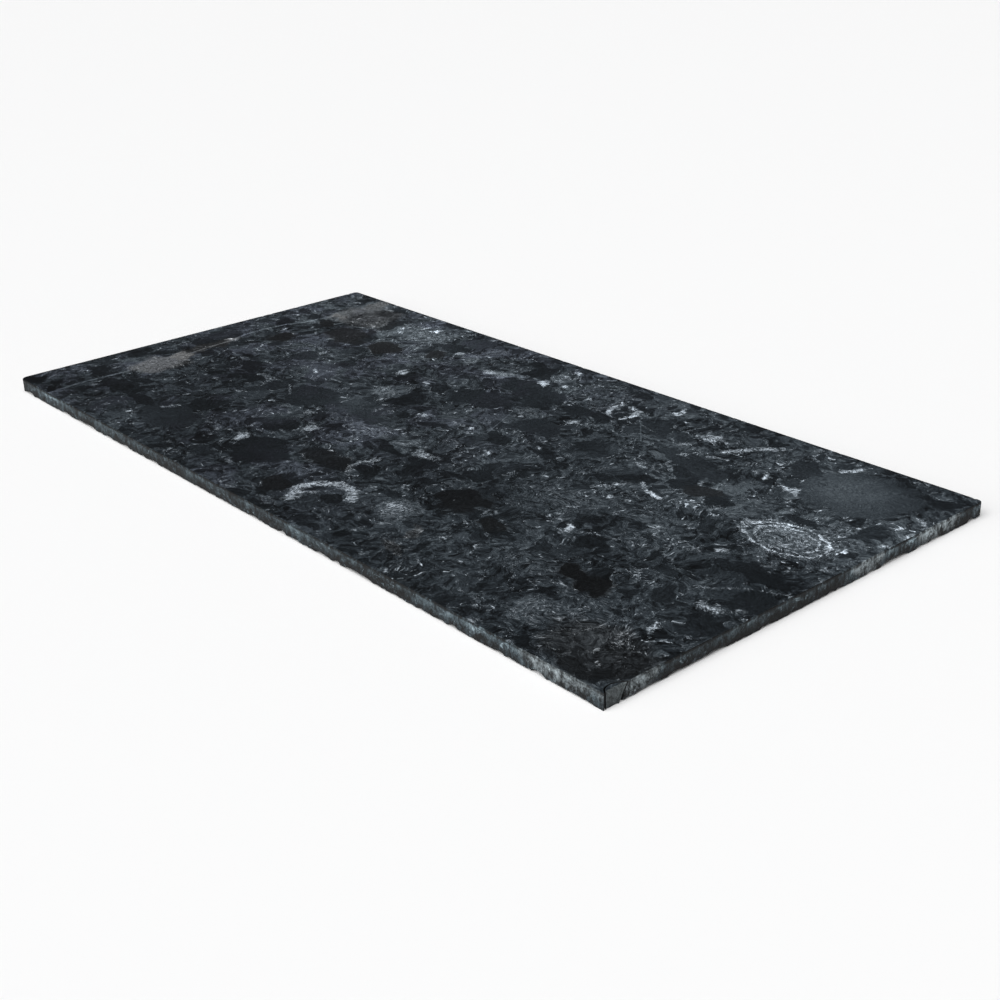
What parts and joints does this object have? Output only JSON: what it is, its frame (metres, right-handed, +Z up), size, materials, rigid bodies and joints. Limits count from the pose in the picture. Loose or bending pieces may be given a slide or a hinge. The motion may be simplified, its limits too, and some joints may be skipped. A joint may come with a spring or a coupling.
{
  "type": "granite slab",
  "caption": "Flat rectangular slab of dark polished stone: a hard, heavy surface for stamping, tooling and pounding leather.",
  "frame": {"origin": "middle of the underside, where the slab rests on a bench", "axes": "+X along the slab's length, towards the cracked corner's end; +Y across its width, away from the cracked corner; +Z up, out of the polished top"},
  "size_m": [0.61, 0.305, 0.0095],
  "materials": {
    "polished_stone": "polished top, sawn matt edges",
    "broken_stone": "rough, freshly broken"
  },
  "bodies": {
    "root": {"slab_body": "polished_stone", "corner_fragment": "broken_stone"}
  },
  "joints": []
}
